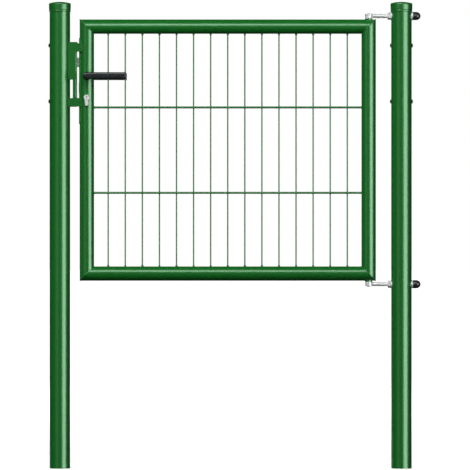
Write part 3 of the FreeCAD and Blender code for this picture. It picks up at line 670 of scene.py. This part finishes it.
def times(tree, number, share):
    return calculate(tree, "MULTIPLY", number, share)


def minus(tree, number, other):
    return calculate(tree, "SUBTRACT", number, other)


def smooth(tree, geometry):
    return put(tree, "GeometryNodeSetShadeSmooth", {"Geometry": geometry})


def moved(tree, geometry, place, turn=(0.0, 0.0, 0.0)):
    inputs = {"Geometry": geometry, "Translation": place, "Rotation": turn}
    return put(tree, "GeometryNodeTransform", inputs)


def joined(tree, *parts):
    node = tree.nodes.new("GeometryNodeJoinGeometry")
    for part in reversed(parts):
        tree.links.new(part, node.inputs[0])
    return node.outputs[0]


def row(tree, count, start, step):
    return put(tree, "GeometryNodeMeshLine", {"Count": count, "Start Location": start, "Offset": step})


# Every one of the first points is set out again at each of the second
def setOut(tree, points, spots):
    placed = put(tree, "GeometryNodeInstanceOnPoints", {"Points": spots, "Instance": points})
    return put(tree, "GeometryNodeRealizeInstances", {"Geometry": placed})


def centred(tree, count, pitch):
    return times(tree, times(tree, minus(tree, count, 1.0), pitch), -0.5)


# Welds: lumpy balls, none quite like the next
weldSizes = {
    "lumps": 1.4,  # how closely the lumps follow each other
    "lumpy": (0.82, 1.16),
    "sizes": (0.88, 1.12),
    "tilt": 0.5,
    "crossing": (1.0, 0.55, 1.0),  # how each kind is stretched along X, Y and Z
    "rail": (1.0, 1.0, 0.8),
    "stile": (0.8, 1.0, 1.05),
    "depth": 0.75,  # how far inside the cross wire's axis a crossing is welded, in radii
    "railReach": 0.995,  # how much of the panel lies between the welds at the frame
    "stileReach": 0.994,
}


def welds(tree, points, size, seed, kind):
    ball = put(tree, "GeometryNodeMeshIcoSphere", {"Radius": 1.0, "Subdivisions": 2})
    spot = put(tree, "GeometryNodeInputPosition")
    lumps = put(tree, "ShaderNodeTexNoise", {"Vector": spot, "Scale": weldSizes["lumps"], "Detail": 1.0})
    lumpy = spread(tree, lumps, 0.0, 1.0, *weldSizes["lumpy"])
    swollen = put(tree, "ShaderNodeVectorMath", {0: spot, "Scale": lumpy}, operation="SCALE")
    shaped = put(tree, "GeometryNodeSetPosition", {"Geometry": ball, "Position": swollen})
    small, large = weldSizes["sizes"]
    grown = put(tree, "FunctionNodeRandomValue", {2: small, 3: large, "Seed": seed}, output=1)
    scaled = times(tree, size, grown)
    tilts = {0: (-weldSizes["tilt"],) * 3, 1: (weldSizes["tilt"],) * 3, "Seed": seed}
    turn = put(tree, "FunctionNodeRandomValue", tilts, data_type="FLOAT_VECTOR")
    stretched = vector(tree, *(times(tree, scaled, share) for share in weldSizes[kind]))
    return put(tree, "GeometryNodeInstanceOnPoints", {
        "Points": points, "Instance": smooth(tree, shaped), "Rotation": turn, "Scale": stretched})


# Welded mesh: smooth round wires with a weld at each crossing and at the frame
meshSizes = {
    "wire diameter": 0.004,
    "wire sides": 14,
    "wire pitch": 0.050,
    "wires": 15,
    "cross wire diameter": 0.006,
    "cross wire sides": 16,
    "cross wire pitch": 0.250,
    "cross wires": 2,
    "cross wire offset": 0.0046,  # of the front and back wire from the middle
    "weld size": 0.0031,
    "frame weld size": 0.0036,
    "seed": 4,
}


# Points as far before as behind the middle, along one axis
def pairOf(tree, axis, half):
    start, step = (vector(tree, **{axis: times(tree, half, share)}) for share in (-1.0, 2.0))
    return row(tree, 2, start, step)


def addWires():
    low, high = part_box("mesh_panel")
    sizes = {**meshSizes, "width": high.x - low.x, "height": high.z - low.z}
    tree, given = newTree("weldedMesh", sizes)
    pitch, count, height, width = (given[size] for size in ("wire pitch", "wires", "height", "width"))
    levels, rise, offset = (given[size] for size in ("cross wires", "cross wire pitch", "cross wire offset"))
    radius, crossRadius = (times(tree, given[size], 0.5) for size in ("wire diameter", "cross wire diameter"))
    seed, frameWeld = given["seed"], given["frame weld size"]

    spots = row(tree, count, vector(tree, centred(tree, count, pitch)), vector(tree, pitch))
    upright = put(tree, "GeometryNodeMeshCylinder", {
        "Vertices": given["wire sides"], "Radius": radius, "Depth": height}, fill_type="NONE")
    uprights = put(tree, "GeometryNodeInstanceOnPoints", {"Points": spots, "Instance": upright})

    rows = row(tree, levels, vector(tree, z=centred(tree, levels, rise)), vector(tree, z=rise))
    pair = pairOf(tree, "y", offset)
    cross = put(tree, "GeometryNodeMeshCylinder", {
        "Vertices": given["cross wire sides"], "Radius": crossRadius, "Depth": width}, fill_type="NONE")
    crossPair = put(tree, "GeometryNodeInstanceOnPoints", {
        "Points": pair, "Instance": cross, "Rotation": (0.0, quarter, 0.0)})
    crossWires = put(tree, "GeometryNodeInstanceOnPoints", {"Points": rows, "Instance": crossPair})

    nearPair = pairOf(tree, "y", minus(tree, offset, times(tree, crossRadius, weldSizes["depth"])))
    grid = setOut(tree, setOut(tree, spots, rows), nearPair)
    crossings = welds(tree, grid, given["weld size"], seed, "crossing")
    railPair = pairOf(tree, "z", times(tree, height, weldSizes["railReach"] / 2))
    railWelds = welds(tree, setOut(tree, spots, railPair), frameWeld, seed, "rail")
    stilePair = pairOf(tree, "x", times(tree, width, weldSizes["stileReach"] / 2))
    stileWelds = welds(tree, setOut(tree, setOut(tree, stilePair, rows), pair), frameWeld, seed, "stile")

    wires = smooth(tree, joined(tree, uprights, crossWires))
    whole = joined(tree, wires, crossings, railWelds, stileWelds)
    placed = moved(tree, whole, tuple((low + high) / 2))
    grow("wireMesh", tree, placed, sizes, "leaf", "green_coat", "mesh_panel")


addWires()
print("welded mesh made")


# Weld seams: a rippled bead along each mitre of the frame and round each hinge boss
seamSizes = {
    "tube radius": 0.021,
    "bead radius": 0.0016,
    "bead sides": 10,
    "sunk": 0.0009,  # how deep the bead's middle lies under the tube's surface
    "ripple pitch": 0.0021,
    "ripple": 0.10,
    "mitre steps": 360,
    "boss radius": 0.0105,
    "boss steps": 180,
}


# A circle drawn in XY whose height follows a rule, swept with a rippled bead
def bead(tree, given, radius, height, steps):
    ring = put(tree, "GeometryNodeCurvePrimitiveCircle", {"Resolution": steps, "Radius": radius})
    x, y, _ = split(tree, put(tree, "GeometryNodeInputPosition"))
    place = vector(tree, x, y, height(x, y))
    laid = put(tree, "GeometryNodeSetPosition", {"Geometry": ring, "Position": place})
    along = put(tree, "GeometryNodeSplineParameter", output="Length")
    phase = times(tree, calculate(tree, "DIVIDE", along, given["ripple pitch"]), 2 * math.pi)
    swell = calculate(tree, "MULTIPLY_ADD", calculate(tree, "SINE", phase), given["ripple"], 1.0)
    path = put(tree, "GeometryNodeSetCurveRadius", {"Curve": laid, "Radius": swell})
    section = put(tree, "GeometryNodeCurvePrimitiveCircle", {
        "Resolution": given["bead sides"], "Radius": given["bead radius"]})
    return smooth(tree, put(tree, "GeometryNodeCurveToMesh", {"Curve": path, "Profile Curve": section}))


def addSeams():
    tree, given = newTree("weldSeams", seamSizes)
    tube, sunk = given["tube radius"], given["sunk"]

    def onMitre(x, y):
        return times(tree, x, -1.0)

    def onTube(x, y):
        rest = minus(tree, times(tree, tube, tube), times(tree, y, y))
        return minus(tree, calculate(tree, "SQRT", rest), sunk)

    mitre = bead(tree, given, minus(tree, tube, sunk), onMitre, given["mitre steps"])
    boss = bead(tree, given, given["boss radius"], onTube, given["boss steps"])
    stileX = {side: sum(corner.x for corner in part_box(side + "_stile")) / 2 for side in ("latch", "hinge")}
    railZ = {side: sum(corner.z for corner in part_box(side + "_rail")) / 2 for side in ("top", "bottom")}
    corners = (("latch", "top", 0), ("hinge", "top", 1), ("hinge", "bottom", 0), ("latch", "bottom", 1))
    parts = []
    for side, level, quarters in corners:
        parts.append(moved(tree, mitre, (stileX[side], 0.0, railZ[level]), (0.0, quarters * quarter, 0.0)))
    for level, turn in (("top", 0.0), ("bottom", math.pi)):
        parts.append(moved(tree, boss, (stileX["hinge"], 0.0, railZ[level]), (turn, 0.0, 0.0)))
    grow("weldSeams", tree, joined(tree, *parts), seamSizes, "leaf", "green_coat")


addSeams()
print("weld seams laid")


# Eyebolt threads: one ridge wound round each shank, up to the inner nut
threadSizes = {
    "thread pitch": 0.00175,
    "shank radius": 0.006,
    "ridge": 0.00055,
    "ridge sides": 4,
    "ridge sunk": 0.6,  # how much of the ridge lies in the shank
    "turns": 15,
    "steps": 26,  # for each turn
    "end": -0.0405,  # where the thread meets the inner nut
}


def addThreads():
    tree, given = newTree("boltThread", threadSizes)
    length = times(tree, given["thread pitch"], given["turns"])
    core = minus(tree, given["shank radius"], times(tree, given["ridge"], given["ridge sunk"]))
    coil = put(tree, "GeometryNodeCurveSpiral", {
        "Resolution": given["steps"], "Rotations": given["turns"],
        "Start Radius": core, "End Radius": core, "Height": length})
    section = put(tree, "GeometryNodeCurvePrimitiveCircle", {
        "Resolution": given["ridge sides"], "Radius": given["ridge"]})
    ridge = put(tree, "GeometryNodeCurveToMesh", {"Curve": coil, "Profile Curve": section, "Fill Caps": True})
    start = minus(tree, given["end"], length)
    parts = []
    for node in ("upper_eyebolt", "lower_eyebolt"):
        low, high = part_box(node)
        parts.append(moved(tree, ridge, vector(tree, start, 0.0, (low.z + high.z) / 2), (0.0, quarter, 0.0)))
    grow("eyeboltThreads", tree, joined(tree, *parts), threadSizes, "posts", "zinc")


addThreads()


# Countersunk screws that hold the lock's faceplate to the stile
screwSizes = {
    "head radius": 0.0039,
    "head taper": 0.7,
    "head height": 0.0016,
    "proud": 0.00025,
    "slot width": 0.0011,
    "slot length": 0.0048,
    "slot depth": 0.0009,
    "from the end": 0.0075,
}
screwTurn = 0.4  # how the slots stand, in radians


def addScrews():
    tree, given = newTree("faceplateScrews", screwSizes)
    radius, height, fromEnd = (given[size] for size in ("head radius", "head height", "from the end"))
    head = put(tree, "GeometryNodeMeshCone", {
        "Vertices": 40, "Radius Top": radius, "Radius Bottom": times(tree, radius, given["head taper"]),
        "Depth": height})
    long, narrow, deep = given["slot length"], given["slot width"], times(tree, given["slot depth"], 2.0)
    arms = []
    for size in ((long, narrow), (narrow, long)):
        arms.append(put(tree, "GeometryNodeMeshCube", {"Size": vector(tree, *size, deep)}))
    arms = moved(tree, joined(tree, *arms), vector(tree, z=height))
    crossed = put(tree, "GeometryNodeMeshBoolean", {"Mesh 1": head, "Mesh 2": arms}, operation="DIFFERENCE")
    low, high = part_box("lock_faceplate")
    x = calculate(tree, "ADD", minus(tree, low.x, given["proud"]), height)
    first = vector(tree, x, 0.0, calculate(tree, "ADD", low.z, fromEnd))
    step = vector(tree, z=minus(tree, high.z - low.z, times(tree, fromEnd, 2.0)))
    placed = put(tree, "GeometryNodeInstanceOnPoints", {
        "Points": row(tree, 2, first, step), "Instance": crossed, "Rotation": (0.0, -quarter, screwTurn)})
    grow("faceplateScrews", tree, placed, screwSizes, "leaf", "zinc")


addScrews()


# Rubber studs in the keeper's stop lugs
studSizes = {
    "stud radius": 0.0027,
    "stud rise": 0.0011,
    "from the tip": 0.0052,
    "lower stud": 1.0708,  # its height
    "between": 0.1588,
}


def addStuds():
    low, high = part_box("keeper")
    tree, given = newTree("lugStuds", studSizes)
    dome = smooth(tree, put(tree, "GeometryNodeMeshUVSphere", {"Segments": 24, "Rings": 14, "Radius": 1.0}))
    first = vector(tree, minus(tree, high.x, given["from the tip"]), low.y, given["lower stud"])
    placed = put(tree, "GeometryNodeInstanceOnPoints", {
        "Points": row(tree, 2, first, vector(tree, z=given["between"])), "Instance": dome,
        "Scale": vector(tree, given["stud radius"], given["stud rise"], given["stud radius"])})
    grow("lugStuds", tree, placed, studSizes, "posts", "black_plastic")


# The ring near the end of each lever
ringSizes = {
    "ring depth": 0.0150,
    "ring height": 0.0210,
    "corner": 0.0055,
    "corner steps": 8,
    "ridge": 0.0005,
    "ridge sides": 8,
    "from the end": 0.0058,
}


def addLeverRings():
    tree, given = newTree("leverRings", ringSizes)
    outline = put(tree, "GeometryNodeCurvePrimitiveQuadrilateral", {
        "Width": given["ring height"], "Height": given["ring depth"]})
    rounded = put(tree, "GeometryNodeFilletCurve", {
        "Curve": outline, "Count": given["corner steps"], "Radius": given["corner"]}, mode="POLY")
    section = put(tree, "GeometryNodeCurvePrimitiveCircle", {
        "Resolution": given["ridge sides"], "Radius": given["ridge"]})
    ring = smooth(tree, put(tree, "GeometryNodeCurveToMesh", {"Curve": rounded, "Profile Curve": section}))
    inside = ringSizes["ring depth"] / 2 + ringSizes["ridge"]  # so that no ring stands out of the CAD's box
    parts = []
    for node in ("front_lever", "back_lever"):
        low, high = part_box(node)
        y = low.y + inside if node == "front_lever" else high.y - inside
        place = vector(tree, minus(tree, high.x, given["from the end"]), y, (low.z + high.z) / 2)
        parts.append(moved(tree, ring, place, (0.0, quarter, 0.0)))
    grow("leverRings", tree, joined(tree, *parts), ringSizes, "lever", "black_plastic")


addStuds()
addLeverRings()
print("threads, screws, studs and rings made")
